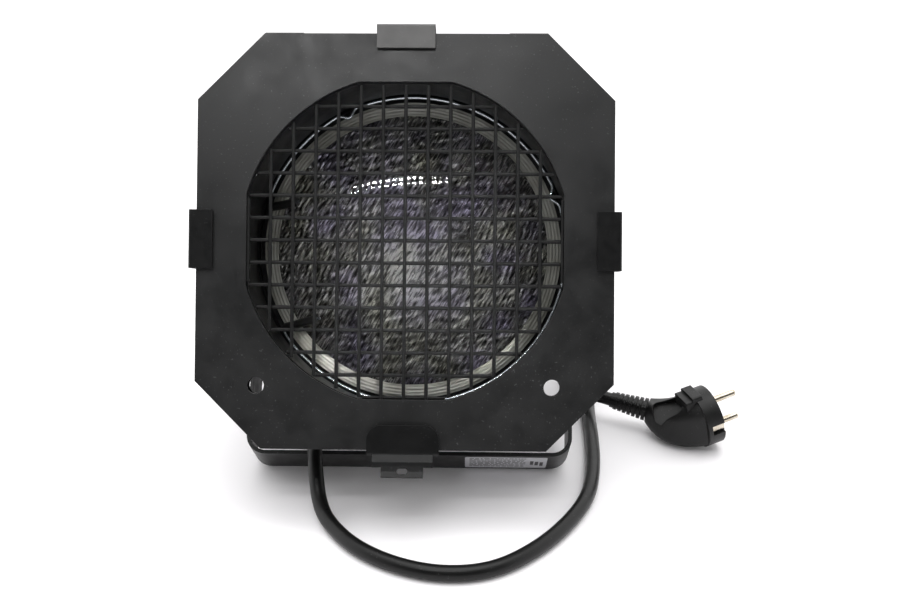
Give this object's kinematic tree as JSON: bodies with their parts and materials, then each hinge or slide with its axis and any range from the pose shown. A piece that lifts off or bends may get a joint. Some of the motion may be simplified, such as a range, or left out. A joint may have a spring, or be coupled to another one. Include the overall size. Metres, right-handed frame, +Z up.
{
  "type": "par can light",
  "caption": "Short par can stage light with a square colour frame, wire guard, sprung frame latch, swinging yoke with locking knobs and a mains cord.",
  "frame": {"origin": "on the table under the middle of the light's length and width, cord left out", "axes": "+X to the light's left as it shines, -Y towards the viewer whom it faces, +Z up; the can's own axis is turned up 24 degrees from -Y"},
  "size_m": [0.3585, 0.4669, 0.2871],
  "materials": {
    "black_paint": "satin powder coat",
    "zinc_steel": "zinc plated",
    "lamp_glass": "stippled",
    "reflector_glass": "aluminised",
    "porcelain": "unglazed",
    "nickel_brass": "nickel plated",
    "black_rubber": "satin",
    "lead_brown": "satin",
    "lead_blue": "satin",
    "lead_green": "satin",
    "plug_plastic": "fine grained",
    "knob_plastic": "grained",
    "fibre": "fibre",
    "label": "satin foil"
  },
  "bodies": {
    "can": {"can_barrel": "black_paint", "rear_housing": "black_paint", "housing_screws": "zinc_steel", "lamp_seat_ring": "black_paint", "seat_rivets": "zinc_steel", "clip_left": "black_paint", "clip_right": "black_paint", "clip_top": "black_paint", "clip_rivets": "zinc_steel", "latch_bracket": "black_paint", "latch_rivets": "zinc_steel", "latch_pin": "zinc_steel", "latch_spring": "zinc_steel", "gel_frame": "black_paint", "safety_mesh": "black_paint", "lamp_lens": "lamp_glass", "lamp_reflector": "reflector_glass", "lamp_filament": "zinc_steel", "filament_posts": "zinc_steel", "lamp_base": "porcelain", "lamp_prongs": "nickel_brass", "retaining_ring": "zinc_steel", "ring_sleeves": "black_rubber", "lamp_socket": "porcelain", "socket_contacts": "nickel_brass", "terminal_block": "porcelain", "terminal_screws": "zinc_steel", "earth_screw": "zinc_steel", "lead_live": "lead_brown", "lead_neutral": "lead_blue", "lead_earth": "lead_green", "pivot_bosses": "zinc_steel", "cord_boot": "black_rubber", "power_cord": "black_rubber", "plug_relief": "black_rubber", "plug_body": "plug_plastic", "plug_pins": "nickel_brass", "plug_earth_clips": "nickel_brass"},
    "yoke": {"yoke_strap": "black_paint", "rating_label": "label", "friction_washers": "fibre"},
    "latch": {"frame_latch": "black_paint"},
    "right_washer": {"washer_right": "zinc_steel"},
    "right_knob": {"knob_right": "knob_plastic"},
    "left_washer": {"washer_left": "zinc_steel"},
    "left_knob": {"knob_left": "knob_plastic"}
  },
  "joints": [
    {"name": "yoke_tilt", "type": "hinge", "parent": "can", "child": "yoke", "pos_m": [0, 0.024, 0.11307], "axis": [1, 0, 0], "range_deg": [0, 240]},
    {"name": "latch_open", "type": "hinge", "parent": "can", "child": "latch", "pos_m": [0, -0.13139, 0.05418], "axis": [1, 0, 0], "range_deg": [0, 95], "stiffness_Nm_per_rad": 0.03, "springref_deg": -22.92},
    {"name": "right_knob_travel", "type": "slide", "parent": "can", "child": "right_washer", "axis": [1, 0, 0], "range_m": [0, 0.0025]},
    {"name": "right_knob_turn", "type": "hinge", "parent": "right_washer", "child": "right_knob", "pos_m": [0.1115, 0.024, 0.11307], "axis": [1, 0, 0], "range_deg": [0, 719]},
    {"name": "left_knob_travel", "type": "slide", "parent": "can", "child": "left_washer", "axis": [-1, 0, 0], "range_m": [0, 0.0025]},
    {"name": "left_knob_turn", "type": "hinge", "parent": "left_washer", "child": "left_knob", "pos_m": [-0.1115, 0.024, 0.11307], "axis": [-1, 0, 0], "range_deg": [0, 719]}
  ],
  "couplings": [
    {"joint": "right_knob_travel", "follows": "right_knob_turn", "m_per_rad": 0.00019894},
    {"joint": "left_knob_travel", "follows": "left_knob_turn", "m_per_rad": 0.00019894}
  ]
}
